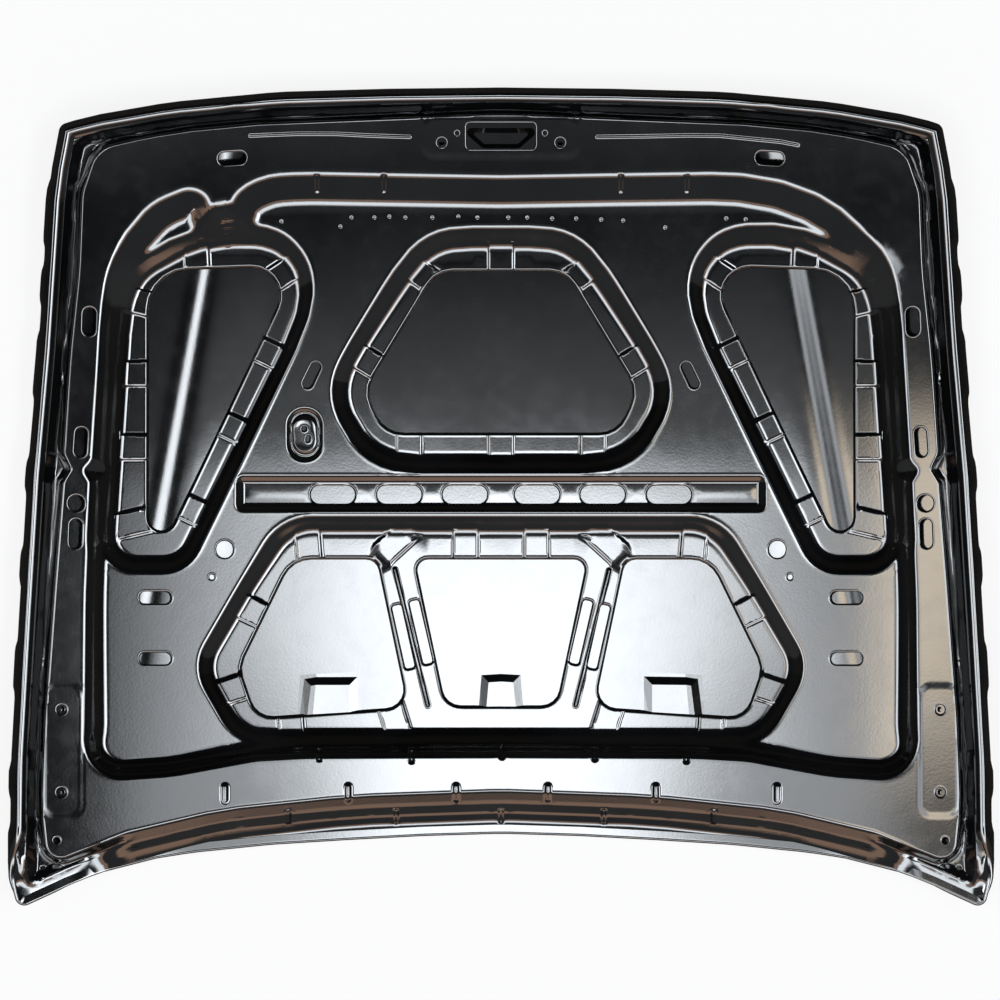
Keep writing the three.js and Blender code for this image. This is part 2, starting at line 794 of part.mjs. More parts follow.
// The striker's plate has a trough that narrows to the rear and guides the striker.
function strikerReinforcement() {
  const top = RAIL_LIFT - PANEL_THICKNESS - SEAT_GAP;
  const trough = outline(whole(STRIKER_TROUGH_HALF));
  const shape = (down) => below(top - down).subtract(pocket(trough, top - TROUGH_DEPTH, top, top, down, 0.5));
  const holes = [-LATCH_BOLT_X, LATCH_BOLT_X].map((x) => circle(x, LATCH_BOLT_Y, LATCH_BOLT_HOLE));
  return shape(0)
    .subtract(shape(PLATE_THICKNESS))
    .intersect(upright(outline(STRIKER_PLATE)))
    .subtract(wasm.Manifold.union(holes.map((hole) => upright(outline(hole)))));
}

// The rear sheet lies close over the skin; its border and the tips of its tabs are bent down to it.
function rearReinforcement() {
  const corners = outline(whole(REAR_SHEET_HALF));
  const foot = SEAT_GAP + REAR_SHEET_THICKNESS;
  const spread = REAR_TAB_RUN / (REAR_SHEET_LIFT - foot);
  const border = 3;
  const shape = (down) => {
    const walls = leaning(corners, REAR_TAB_RUN, foot - down, -spread, REAR_SHEET_LIFT + 1 - down);
    return walls.intersect(below(REAR_SHEET_LIFT - down)).add(below(foot - down));
  };
  return shape(0)
    .subtract(shape(REAR_SHEET_THICKNESS))
    .intersect(upright(corners, REAR_TAB_RUN + border));
}

// Places a piece on the crown at a height above the skin, square to it
function place(name, geometry, x, y, lift) {
  const piece = new THREE.Mesh(geometry, name.startsWith("mastic") ? mastic : steel);
  piece.name = name;
  const [px, py] = [across(x), along(y)];
  const { height, normal } = facetHeight(px, py);
  piece.quaternion.setFromUnitVectors(new THREE.Vector3(0, 0, 1), normal);
  piece.position.set(px, py, height + lift);
  group.add(piece);
}

function nutGeometry() {
  const hexagon = new THREE.Shape();
  for (let i = 0; i < 6; i++) {
    const angle = (i * Math.PI) / 3;
    const [x, y] = [NUT_RADIUS * Math.cos(angle), NUT_RADIUS * Math.sin(angle)];
    if (i) hexagon.lineTo(x, y);
    else hexagon.moveTo(x, y);
  }
  hexagon.closePath();
  const bore = new THREE.Path();
  bore.absarc(0, 0, NUT_BORE_RADIUS, 0, 2 * Math.PI, true);
  hexagon.holes.push(bore);
  const settings = { depth: NUT_HEIGHT, bevelEnabled: false, curveSegments: 10 };
  return new THREE.ExtrudeGeometry(hexagon, settings);
}

// A drop of mastic squeezed between the skin and a flange
function masticGeometry() {
  const height = FLANGE_LIFT - PANEL_THICKNESS - 2 * SEAT_GAP;
  const profile = [
    new THREE.Vector2(0, 0),
    new THREE.Vector2(MASTIC_RADIUS, 0),
    new THREE.Vector2(MASTIC_RADIUS, height),
    new THREE.Vector2(0, height),
  ];
  return new THREE.LatheGeometry(profile, 7).rotateX(Math.PI / 2);
}

const steel = new THREE.MeshStandardMaterial({ color: 0x1b1d20, roughness: 0.35, metalness: 0.2 });
const mastic = new THREE.MeshStandardMaterial({ color: 0x0c0d0e, roughness: 0.8, metalness: 0 });

addSolid("outer_skin", skin());
addSolid("inner_panel", innerPanel());
addSolid("striker_reinforcement", strikerReinforcement());
addSolid("rear_reinforcement", rearReinforcement());
const hingeHoles = HINGE_BOLTS.map((y) => circle(HINGE_X, y, HINGE_BOLT_HOLE));
addSolid("hinge_reinforcement_right", railPlate(HINGE_PLATE, hingeHoles));
addSolid("hinge_reinforcement_left", railPlate(mirrored(HINGE_PLATE), hingeHoles.map(mirrored)));

const nut = nutGeometry();
const nutLift = RAIL_LIFT - PANEL_THICKNESS - PLATE_THICKNESS - 2 * SEAT_GAP - NUT_HEIGHT;
for (const [side, sign] of [["left", -1], ["right", 1]]) {
  place(`hinge_nut_front_${side}`, nut, sign * HINGE_X, HINGE_BOLTS[0], nutLift);
  place(`hinge_nut_rear_${side}`, nut, sign * HINGE_X, HINGE_BOLTS[1], nutLift);
  place(`latch_nut_${side}`, nut, sign * LATCH_BOLT_X, LATCH_BOLT_Y, nutLift);
}

const drop = masticGeometry();
for (const [name, spots] of Object.entries(MASTIC_PAIRS))
  spots.forEach(([x, y], i) => {
    place(`${name}_left_${i + 1}`, drop, -x, y, SEAT_GAP);
    place(`${name}_right_${i + 1}`, drop, x, y, SEAT_GAP);
  });
for (const [name, [x, y]] of Object.entries(MASTIC_MIDDLE)) place(name, drop, x, y, SEAT_GAP);

// The origin is under the middle of the part, on the surface that the skin lies on.
const bounds = new THREE.Box3().setFromObject(group);
group.position.set(0, -(bounds.min.y + bounds.max.y) / 2, -bounds.min.z);

export default group;
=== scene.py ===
# %% [markdown]
# # A pressed car bonnet, inner side up
#
# The bonnet lies on its outer face, so the camera looks down on the pressed inner panel.
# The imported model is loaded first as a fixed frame. It gives the place and the real size of
# every piece. The two large sheets are then made again here as fine meshes, because their
# soft bends and folded rim are what the light shows.

import math

import bpy
import numpy as np
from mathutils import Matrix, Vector
from mathutils.geometry import delaunay_2d_cdt


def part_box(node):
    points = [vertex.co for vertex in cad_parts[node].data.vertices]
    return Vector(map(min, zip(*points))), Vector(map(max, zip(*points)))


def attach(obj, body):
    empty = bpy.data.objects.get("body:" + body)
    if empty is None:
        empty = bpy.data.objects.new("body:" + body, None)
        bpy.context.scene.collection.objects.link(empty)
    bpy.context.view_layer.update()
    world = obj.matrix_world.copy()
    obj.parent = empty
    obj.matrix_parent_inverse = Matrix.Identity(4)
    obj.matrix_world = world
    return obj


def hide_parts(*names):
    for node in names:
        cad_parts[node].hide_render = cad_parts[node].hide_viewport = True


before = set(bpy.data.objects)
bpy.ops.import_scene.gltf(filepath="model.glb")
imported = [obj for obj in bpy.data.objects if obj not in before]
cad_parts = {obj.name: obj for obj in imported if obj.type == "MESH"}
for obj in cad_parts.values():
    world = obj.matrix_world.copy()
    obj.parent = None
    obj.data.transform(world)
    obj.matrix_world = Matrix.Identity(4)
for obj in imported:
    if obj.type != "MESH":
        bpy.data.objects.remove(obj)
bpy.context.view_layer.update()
bpy.ops.object.select_all(action="DESELECT")

# %% [markdown]
# ## One set of sizes for both sheets
#
# Both sheets share one crown: the bonnet rises from its middle to its edges. Every level of
# the panel is that crown plus a lift, which is how a press tool is drawn. The drawing frame has
# its zero at the crown's lowest point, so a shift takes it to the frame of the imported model.

# %% Sizes in millimetres
WIDTH, LENGTH = 1492.0, 1248.6
CROWN_ACROSS, CROWN_FRONT, CROWN_REAR = 52.0, 46.0, 22.0
SKIN_THICKNESS, PANEL_THICKNESS = 0.8, 0.7
CHANNEL_LIFT, RAIL_LIFT, PLATEAU_LIFT, FLANGE_LIFT = 1.0, 38.0, 21.0, 5.0
BAR_DEPTH, BOSS_DEPTH = 8.0, 5.0
WALL_SPREAD = 1.06
LIP_FADE, LIP_SLOPE = 80.0, 0.92
PANEL_TRIM, PANEL_REAR_TRIM, PANEL_FOOT = 19.0, 3.5, 40.3
CLIMB_FACTOR, CLIMB_TOP = 1.35, 19.4
CREASE_AT_MIDDLE, CREASE_TAPER, CREASE_DEPTH, CREASE_WIDTH = 514.0, 0.181, 2.9, 14.0

PIXEL = 1.52
PHOTO_MIDDLE = (501, 498)
HINGE_NUT_Y = -321

nut_low, nut_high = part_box("hinge_nut_front_right")
SHIFT_Y = 500 * (nut_low[1] + nut_high[1]) - HINGE_NUT_Y
SHIFT_Z = SKIN_THICKNESS
print("shift of the drawing frame:", round(SHIFT_Y, 2), SHIFT_Z)


def crown(x, y):
    ends = np.where(y > 0, CROWN_FRONT, CROWN_REAR)
    return CROWN_ACROSS * (2 * x / WIDTH) ** 2 + ends * (2 * y / LENGTH) ** 2


# %% [markdown]
# ## Outlines
#
# Each bend of the panel follows an outline of a few corners with radii. The numbers are
# across, along and radius. Outlines of symmetric features list only the right half. The plateau
# lists both of its front corners, because the left one has a tongue.

# %% Outlines of the panel
EDGE = [(0, 624), (170, 622), (340, 617), (503, 601), (628, 579), (669, 566, 14), (686, 478),
        (703, 225), (720, 32), (733, -190), (744, -398), (746, -575), (734, -624.6, 14),
        (640, -582), (560, -554), (471, -540), (350, -528), (235, -521), (120, -515), (0, -511.5)]
RAIL = [(0, 583), (418, 566, 900), (535, 548, 400), (612, 530, 45), (635, 462, 60),
        (640, 346, 400), (654, 217, 900), (664, 68, 20), (653, 45, 10), (665, 25, 20),
        (678, -140, 900), (692, -337, 900), (697, -470, 300), (688, -556, 24), (567, -508, 60),
        (423, -474, 400), (228, -454, 900), (0, -446)]
PLATEAU_SIDE = [(604, 278), (610, 149, 900), (615, 60, 12), (632, 42, 8), (621, 24, 12),
                (628, -155, 900), (630, -426, 55), (500, -417, 200), (374, -394, 100), (300, -390, 300)]
PLATEAU_CORNER = [(179, 490, 900), (340, 492), (394, 487), (454, 472), (500, 449), (530, 426),
                  (561, 392), (584, 354), (599, 309)]
PLATEAU_TONGUE = [(179, 490, 900), (300, 492), (352, 489), (386, 475), (406, 457), (413, 432, 9),
                  (436, 430, 9), (444, 459, 30), (472, 471, 60), (526, 449), (556, 419),
                  (579, 385), (592, 350), (600, 315)]
TRIANGLE = [(286, 324), (291, 354), (303, 377), (325, 400), (356, 413), (394, 416), (439, 413),
            (485, 400), (523, 381), (561, 352), (578, 316), (586, 270), (589, 225, 900), (601, 42, 900),
            (611, -112, 52), (478, -112, 60), (303, 248), (289, 293)]
TRIANGLE_OPENING = [(312, 353, 42), (536, 345, 62), (537, -118, 20)]
TRAPEZOID = [(0, 411), (60, 411), (95, 406), (125, 390), (152, 362), (178, 322), (205, 277),
             (233, 230), (251, 195), (257, 165), (253, 135), (238, 102), (215, 71), (182, 50),
             (140, 41), (0, 41)]
TRAPEZOID_OPENING = [(0, 345), (98, 345, 42), (208, 163, 50), (176, 100, 44), (0, 100)]
LOWER = [(0, -27), (335, -27, 85), (470, -257, 70), (405, -375, 75), (0, -375)]
SIDE_WINDOW = [(190, -94, 20), (143, -318, 28), (372, -334, 34), (398, -258, 40), (318, -94, 46)]
MIDDLE_WINDOW = [(0, -94), (131, -94, 16), (84, -316, 28), (0, -316)]
BAR = [(0, 33), (402, 33, 10), (402, -19, 10), (0, -19)]


def whole(half):
    """Both halves of an outline drawn on the right."""
    return half + [(-c[0], *c[1:]) for c in reversed(half) if c[0] > 0]


def mirrored(corners):
    return [(-c[0], *c[1:]) for c in reversed(corners)]


PLATEAU = [(0, 487)] + PLATEAU_CORNER + PLATEAU_SIDE
PLATEAU += [(0, -389)] + mirrored(PLATEAU_TONGUE + PLATEAU_SIDE)


def box_outline(x0, y0, x1, y1, radius):
    return [(x0, y0, radius), (x1, y0, radius), (x1, y1, radius), (x0, y1, radius)]


def slot(x, y, length, width, degrees=0.0, radius=None):
    """A long hole: its ends are round unless a radius is given."""
    angle = math.radians(degrees)
    c, s = math.cos(angle), math.sin(angle)
    a, b = length / 2, width / 2
    r = b * 0.999 if radius is None else radius
    return [(x + u * c - v * s, y + u * s + v * c, r) for u, v in ((-a, -b), (a, -b), (a, b), (-a, b))]


def hole(x, y, diameter):
    return slot(x, y, diameter, diameter * 0.999)


# %% [markdown]
# Every hole and opening is listed once. Most of them lie on both sides.

# %% Openings of the panel
BOTH_SIDES = [TRIANGLE_OPENING, SIDE_WINDOW]
BOTH_SIDES += [slot(149, -211.5, 97.3, 14, 77.5, 4), slot(122, -204.5, 97.5, 14, 77, 4)]
BOTH_SIDES += [slot(x, 5.3, 67.6, 27.4) for x in (55, 155, 256)]
BOTH_SIDES += [slot(526, -151.5, 48.6, 18.2), slot(526, -244, 48.6, 18.2),
               slot(288, 187, 42.5, 15, -64), slot(625, 268, 42.6, 19, 92),
               slot(638, 85, 44, 17.5, 94), slot(646, -54, 44, 18, 92),
               slot(408, 516, 42, 18.5, -4)]
BOTH_SIDES += [hole(420.5, -78, 26), hole(440, -120, 8), hole(645, -7.6, 24), hole(674, -519, 8),
               hole(696, -563, 6), hole(66.7, 554.5, 4.6), hole(667, -321, 13.7),
               hole(667, -446.5, 13.7), hole(90, 540, 13)]
OPENINGS = [whole(TRAPEZOID_OPENING), whole(MIDDLE_WINDOW), slot(0, 550, 101.5, 35.7, 0, 4),
            hole(-299.7, 105.5, 7), slot(-293.7, 90.5, 10, 6, 80)]
OPENINGS += BOTH_SIDES + [mirrored(c) for c in BOTH_SIDES]
print("openings:", len(OPENINGS))


# %% [markdown]
# ## From corners to smooth rings
#
# A corner with a radius becomes an arc. The ring can be grown or shrunk by a distance, so one
# outline serves for the top line and the foot line of a wall.

# %% Rings
ARC_STEP, HOLE_ARC_STEP = math.radians(9), math.radians(18)
SOFT_RADIUS = 400.0


def ring(corners, grow=0.0, spacing=11.0, arc=ARC_STEP):
    """The outline, grown by a distance, as points at an even spacing."""
    pts = np.array([c[:2] for c in corners], float)
    radii = np.array([c[2] if len(c) > 2 else 0.0 for c in corners])
    after = np.roll(pts, -1, 0)
    if np.sum(pts[:, 0] * after[:, 1] - after[:, 0] * pts[:, 1]) < 0:
        pts, radii = pts[::-1], radii[::-1]
    ahead = np.roll(pts, -1, 0) - pts
    ahead /= np.linalg.norm(ahead, axis=1)[:, None]
    behind = np.roll(ahead, 1, 0)
    dots = 1 + np.sum(ahead * behind, axis=1)
    across = np.stack([behind[:, 1] + ahead[:, 1], -behind[:, 0] - ahead[:, 0]], 1)
    moved = pts + across / dots[:, None] * grow
    result = []
    for i, here in enumerate(moved):
        before, nxt = moved[i - 1], moved[(i + 1) % len(moved)]
        a = (here - before) / np.linalg.norm(here - before)
        b = (nxt - here) / np.linalg.norm(nxt - here)
        angle = math.atan2(a[0] * b[1] - a[1] * b[0], a @ b)
        room = 0.48 * min(np.linalg.norm(here - before), np.linalg.norm(nxt - here))
        wanted = radii[i] if radii[i] else SOFT_RADIUS
        change = math.copysign(grow, angle) if angle * grow > 0 else -abs(grow)
        wanted = max(1.0, wanted + change)
        tangent = min(room, wanted * math.tan(abs(angle) / 2))
        steps = max(1, round(abs(angle) / arc))
        if abs(angle) < 1e-4:
            result.append(here)
            continue
        radius = tangent / math.tan(angle / 2)
        start = here - a * tangent
        for step in range(steps + 1):
            swept = angle * step / steps
            turned = np.array([-a[1], a[0]]) * (1 - math.cos(swept))
            result.append(start + radius * (a * math.sin(swept) + turned))
    return even(np.array(result), spacing)


def even(points, spacing):
    """Adds points on the long stretches of a closed line."""
    result = []
    for here, nxt in zip(points, np.roll(points, -1, 0)):
        pieces = max(1, math.ceil(np.linalg.norm(nxt - here) / spacing))
        result += [here + (nxt - here) * k / pieces for k in range(pieces)]
    return np.array(result)


def signed_distance(points, line):
    """Distance of each point to a closed line, below zero inside it."""
    best = np.full(len(points), 1e9)
    inside = np.zeros(len(points), bool)
    x, y = points[:, 0], points[:, 1]
    for (x0, y0), (x1, y1) in zip(line, np.roll(line, -1, 0)):
        dx, dy = x1 - x0, y1 - y0
        share = np.clip(((x - x0) * dx + (y - y0) * dy) / max(dx * dx + dy * dy, 1e-9), 0, 1)
        best = np.minimum(best, (x - x0 - share * dx) ** 2 + (y - y0 - share * dy) ** 2)
        if y0 != y1:
            crosses = (y0 > y) != (y1 > y)
            inside ^= crosses & (x < x0 + (y - y0) * dx / dy)
    return np.where(inside, -1, 1) * np.sqrt(best)


def smooth_low(a, b, bend):
    """The lower of two heights, with a rounded bend where they meet."""
    h = np.clip(0.5 + 0.5 * (b - a) / bend, 0, 1)
    return b + (a - b) * h - bend * h * (1 - h)


def smooth_high(a, b, bend):
    return -smooth_low(-a, -b, bend)


def smoothstep(value, low, high):
    t = np.clip((value - low) / (high - low), 0, 1)
    return t * t * (3 - 2 * t)


# %% [markdown]
# ## The rim
#
# The side lip dies out towards the rear corners and becomes a flat hem. `lip_share` is one where
# the lip is full and zero along the rear edge.

# %% Edge line and lip share
edge_line = ring(whole(EDGE), spacing=9.0)
rear_corners = sorted(c[:2] for c in whole(EDGE) if c[1] < -500)


def lip_share(points):
    rear = np.interp(points[:, 0], [c[0] for c in rear_corners], [c[1] for c in rear_corners])
    return smoothstep(points[:, 1] - rear, 1, LIP_FADE)


# %% [markdown]
# ## Height of the pressed panel
#
# Each feature is a wall that follows its outline: inside the outline the sheet is pressed down
# to a floor, or it stands up to a top. Where two heights meet, the bend is rounded as sheet
# steel is. This one function replaces sculpting: every point of the mesh asks it for its height.

# %% Small features
REAR_FLATNESS = 0.45
PAD_RISE, PAD_HALF, PAD_SLOPE = 1.6, 17.0, 4.0
PAD_REACH, PAD_LINE_REACH, PAD_SPACING = 34.0, 22.0, 9.0
HOLE_SPACING = 8.0


def px(x, y):
    """A place read off the photograph, in millimetres of the drawing frame."""
    return ((x - PHOTO_MIDDLE[0]) * PIXEL, (PHOTO_MIDDLE[1] - y) * PIXEL)


def bead(points, half_width, rise):
    return [np.array([px(*p) for p in points]), half_width, rise]


LEFT_BEAD = [(250, 136), (297, 134), (336, 134), (367, 135.6), (410, 137)]
RIGHT_BEAD = [(597, 137), (641, 136.5), (688, 135.6), (720, 136), (780, 142), (798, 145.6)]
NOTCHES = [(319, 760), (411.5, 761), (502, 757), (595, 759), (686.5, 761)]
BEADS = [bead(LEFT_BEAD, 2.4, 0.8), bead(RIGHT_BEAD, 2.4, 0.8)]
BEADS += [bead([(x, 787), (x, 800)], 6, 2.2) for x in (225, 348, 456, 548, 656, 777)]
BEADS += [bead([(x, 812), (x, 823)], 5, 2.0) for x in (288, 396, 501, 604, 714)]
BEADS += [bead([(x, y), (x, y - 9)], 5, -4) for x, y in NOTCHES]
BEADS += [bead([(x, 176), (x, 190)], 4.5, -2.0) for x in (317, 384, 621, 687)]
BEADS += [bead([(394.5, 570), (427.5, 706)], 4.2, 2.6)]
BEADS += [bead([(609.6, 571), (576, 706)], 4.2, 2.6)]
DIMPLES = [(351, 217), (374, 217), (389, 216), (405, 217), (432, 217), (458, 216), (477, 217),
           (508, 217), (527, 217), (552, 218), (576, 218), (601, 219), (623, 220), (281, 221),
           (340, 226), (665, 227), (726, 218), (745.5, 219)]
BEADS += [bead([p, (p[0] + 0.6, p[1])], 2.4, -0.7) for p in DIMPLES]


def line_distance(points, line):
    """Distance of each point to an open line."""
    best = np.full(len(points), 1e9)
    for (x0, y0), (x1, y1) in zip(line, line[1:]):
        dx, dy = x1 - x0, y1 - y0
        x, y = points[:, 0] - x0, points[:, 1] - y0
        share = np.clip((x * dx + y * dy) / (dx * dx + dy * dy), 0, 1)
        best = np.minimum(best, np.hypot(x - share * dx, y - share * dy))
    return best


def round_line(line, grow):
    """A closed line round an open one, as the outline of a bead."""
    start, end = line[0], line[-1]
    along = (end - start) / np.linalg.norm(end - start)
    side = np.array([-along[1], along[0]])
    arc = np.linspace(-math.pi / 2, math.pi / 2, 6)
    cap_end = [end + grow * (along * math.cos(a) - side * math.sin(-a)) for a in arc]
    cap_start = [start - grow * (along * math.cos(a) + side * math.sin(a)) for a in arc]
    there = [p - side * grow for p in line[1:-1]]
    back = [p + side * grow for p in line[-2:0:-1]]
    return np.array(there + cap_end + back + cap_start)


# %% [markdown]
# The pockets' flanges are not flat: short pads stand up where the mastic drops lie under them.
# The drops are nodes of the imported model, so the pads take their places from it.

# %% Pads on the flanges
opening_lines = [ring(c) for c in (whole(TRAPEZOID_OPENING), TRIANGLE_OPENING,
                                   mirrored(TRIANGLE_OPENING), SIDE_WINDOW,
                                   mirrored(SIDE_WINDOW), whole(MIDDLE_WINDOW))]
edge_steps = np.concatenate([np.roll(line, -1, 0) - line for line in opening_lines])
edge_middles = np.concatenate([(np.roll(line, -1, 0) + line) / 2 for line in opening_lines])
pads = []
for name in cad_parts:
    if name.startswith("mastic"):
        low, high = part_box(name)
        middle = np.array([500 * (low[0] + high[0]), 500 * (low[1] + high[1]) - SHIFT_Y])
        nearest = np.argmin(((edge_middles - middle) ** 2).sum(1))
        along = edge_steps[nearest] / np.linalg.norm(edge_steps[nearest])
        pads.append((middle, along))
print("pads:", len(pads))


def pad_distance(points, pad):
    middle, along = pad
    away = points - middle
    u = np.abs(away @ along) - PAD_HALF
    v = np.abs(away @ np.array([-along[1], along[0]])) - PAD_REACH
    return np.maximum(u, v)


def pad_rise(points):
    rise = np.zeros(len(points))
    for pad in pads:
        away = pad_distance(points, pad)
        rise = np.maximum(rise, PAD_RISE * (1 - smoothstep(away, 0, PAD_SLOPE)))
    return rise


def pad_line(pad, grow):
    middle, along = pad
    side = np.array([-along[1], along[0]])
    a, b = PAD_HALF + grow, PAD_LINE_REACH
    corners = [middle + along * u + side * v for u, v in ((-a, -b), (a, -b), (a, b), (-a, b))]
    return even(np.array(corners), PAD_SPACING)


# %% [markdown]
# The sheet is bent down round its openings, which stiffens the edge and catches a line of light.

# %% Rolled edges
hole_lines = [ring(c, spacing=HOLE_SPACING, arc=HOLE_ARC_STEP) for c in OPENINGS]


def roll_size(line):
    """How far the edge drops and over what width, by the size of the opening."""
    small, large = sorted(np.ptp(line, 0))
    if small > 60:
        return 3.4, 4.8
    if large > 90:
        return 2.6, 3.8
    return (1.6, 3.2) if large > 60 else (1.1, 2.6)


def near_line(points, line, margin):
    """Which points lie in the box round a line, with a margin."""
    middle = (line.min(0) + line.max(0)) / 2
    return (np.abs(points - middle) < np.ptp(line, 0) / 2 + margin).all(1)


def roll_edges(points, lift):
    for line in hole_lines:
        drop, width = roll_size(line)
        near = near_line(points, line, width)
        away = signed_distance(points[near], line)
        lift[near] -= drop * np.clip(1 - away / width, 0, 1) ** 2
    return lift


# %% Height function
SIDE_STEPS = ([-5, -1, 1, 11, 13], [38, 38, 36.5, 1.5, 1])
REAR_STEPS = ([-3, 0, 17, 32, 47, 50], [38, 37.6, 25.8, 11.8, 1.4, 1])
FOOT_RADIUS = 60
SEAT_FADE = 9
HINGE_SEAT = box_outline(641, -478, 689, -289, 12)
LATCH_SEAT = box_outline(-112, 524, 112, 574, 10)
PROP_OVAL = slot(-298.7, 96.5, 80, 53, 90)
PROP_DISC = slot(-298.7, 96.5, 52, 34, 94)


def pocket_height(points, corners, floor, reference, spread, bend):
    distance = signed_distance(points, ring(corners))
    return smooth_high(floor + np.zeros(len(points)), reference + distance / spread, bend)


def pocket(points, lift, corners, floor, reference, spread, front_spread, low, high):
    """Presses a pocket in. Its front wall can be less steep, and far back it is steeper."""
    spread = spread + (front_spread - spread) * smoothstep(points[:, 1], low, high)
    spread = spread * (0.68 + 0.32 * smoothstep(points[:, 1], -400, -340))
    bend = 6.0 * WALL_SPREAD / spread
    return smooth_low(lift, pocket_height(points, corners, floor, reference, spread, 1.5 * bend), bend)


def raised_height(points, corners, top, spread, bend):
    distance = signed_distance(points, ring(corners))
    return smooth_low(np.full(len(points), top), top - distance / spread, bend)


def foot_line(grow):
    """Where the panel starts to climb to the rim, with wide corners."""
    corners = [(c[0], c[1], FOOT_RADIUS if len(c) > 2 else SOFT_RADIUS) for c in whole(EDGE)]
    return ring(corners, grow)


def rail_height(points):
    """The rail round the panel. Its rear wall comes down in three slanted strips."""
    away = signed_distance(points, ring(whole(RAIL)))
    rear = smoothstep(-points[:, 1], 380, 420) * (1 - smoothstep(np.abs(points[:, 0]), 560, 650))
    return np.interp(away, *SIDE_STEPS) * (1 - rear) + np.interp(away, *REAR_STEPS) * rear


def panel_lift(points):
    """Height of the panel's inner face above the skin."""
    past_foot = signed_distance(points, foot_line(-PANEL_FOOT))
    climb = np.clip(past_foot * CLIMB_FACTOR * LIP_SLOPE, 0, CLIMB_TOP)
    lift = smooth_high(CHANNEL_LIFT + climb * lip_share(points), rail_height(points), 3)
    flatter = REAR_FLATNESS * CROWN_REAR * (2 * np.minimum(points[:, 1], 0) / LENGTH) ** 2
    lift = pocket(points, lift, PLATEAU, PLATEAU_LIFT - flatter, RAIL_LIFT, 1.06, 2.4, 250, 430)
    floor = FLANGE_LIFT + pad_rise(points)
    for corners, *widths in ((TRIANGLE, 1.06, 1.85, 280, 400),
                             (mirrored(TRIANGLE), 1.06, 1.85, 280, 400),
                             (whole(TRAPEZOID), 1.25, 1.8, 200, 390),
                             (whole(LOWER), 1.06, 1.55, -150, -40)):
        lift = pocket(points, lift, corners, floor, PLATEAU_LIFT, *widths)
    bar = pocket_height(points, whole(BAR), PLATEAU_LIFT - BAR_DEPTH, PLATEAU_LIFT, 1.0, 4)
    lift = smooth_low(lift, bar, 4)
    boss = pocket_height(points, PROP_OVAL, PLATEAU_LIFT - BOSS_DEPTH, PLATEAU_LIFT, 0.9, 3)
    boss = smooth_high(boss, raised_height(points, PROP_DISC, PLATEAU_LIFT + 1, 0.5, 2), 2)
    lift = smooth_low(lift, boss, 3)
    for corners, rise in ((HINGE_SEAT, 0.4), (mirrored(HINGE_SEAT), 0.4), (LATCH_SEAT, 0.35)):
        distance = signed_distance(points, ring(corners))
        lift = lift + rise * (1 - smoothstep(distance, 0, SEAT_FADE))
    for line, half_width, rise in BEADS:
        distance = line_distance(points, line)
        lift = lift + rise * (1 - smoothstep(distance, 0.2 * half_width, half_width))
    return roll_edges(points, lift)


# %% [markdown]
# ## A mesh that follows the bends
#
# A plain grid would draw every slanted bend as a staircase. Here rings of points run along each
# bend, a loose grid fills the flats, and a constrained triangulation joins them. Triangles that
# fall in a hole or outside the trim are dropped.

# %% Bend lines of the panel
RAIL_GROWS = (-6, -3, -1, 1, 3, 6, 9.5, 12, 15, 18.5, 24, 30.5, 33.5, 40, 45.5, 49)
FOOT_GROWS = (-45, -42, -40, -38, -35, -30, -25.5, -23)
WALL_GROWS = (5, 3, 1, -1, -3, -5.5, -9, -12, -14.5, -17, -19.5, -22, -24.5)
PLATEAU_GROWS = (12, 8) + WALL_GROWS + (-28, -32, -35, -37.5, -40, -42.5, -45.5, -49)
POCKET_GROWS = (17, 11, 8) + WALL_GROWS + (-27, -29.5, -32, -36)


def bend_rings():
    lines = [ring(whole(RAIL), g) for g in RAIL_GROWS]
    lines += [foot_line(g) for g in FOOT_GROWS]
    lines += [ring(PLATEAU, g) for g in PLATEAU_GROWS]
    for corners in (TRIANGLE, mirrored(TRIANGLE), whole(TRAPEZOID), whole(LOWER)):
        lines += [ring(corners, g) for g in POCKET_GROWS]
    lines += [ring(whole(BAR), g) for g in (7, 4.5, 2.5, 0.5, -1.5, -6, -8, -10, -12.5)]
    lines += [ring(PROP_OVAL, g, 5.0) for g in (6, 3.5, 2, 0, -2, -4.5, -6)]
    lines += [ring(PROP_DISC, g, 5.0) for g in (2.5, 0.5, -1)]
    for corners in (HINGE_SEAT, mirrored(HINGE_SEAT), LATCH_SEAT):
        lines += [ring(corners, g) for g in (-3, 0, 3, 6, 9, 12)]
    lines += [pad_line(pad, g) for pad in pads for g in (-3, 0, 2, 4, 7)]
    for line, half_width, _ in BEADS:
        lines += [round_line(line, half_width * share) for share in (0.2, 0.6, 1.0, 1.5)]
    for corners, line in zip(OPENINGS, hole_lines):
        width = roll_size(line)[1]
        lines += [ring(corners, width * share, HOLE_SPACING, HOLE_ARC_STEP)
                  for share in (0.25, 0.5, 0.75, 1.0, 1.6)]
    return lines


def trim_line(side_inset, rear_inset):
    """A line inside the edge: one inset along the lip, another along the rear."""
    share = lip_share(edge_line)
    inset = rear_inset + (side_inset - rear_inset) * share
    ahead = np.roll(edge_line, -1, 0) - np.roll(edge_line, 1, 0)
    ahead /= np.linalg.norm(ahead, axis=1)[:, None]
    inward = np.stack([-ahead[:, 1], ahead[:, 0]], 1)
    line = edge_line + inward * inset[:, None]
    good = -signed_distance(line, edge_line) > 0.96 * inset - 0.1
    places = np.arange(len(line))
    return np.stack([np.interp(places, places[good], line[good, axis]) for axis in (0, 1)], 1)


PANEL_GRID, SKIN_GRID = 15.0, 16.0
MERGE_DISTANCE = 0.05


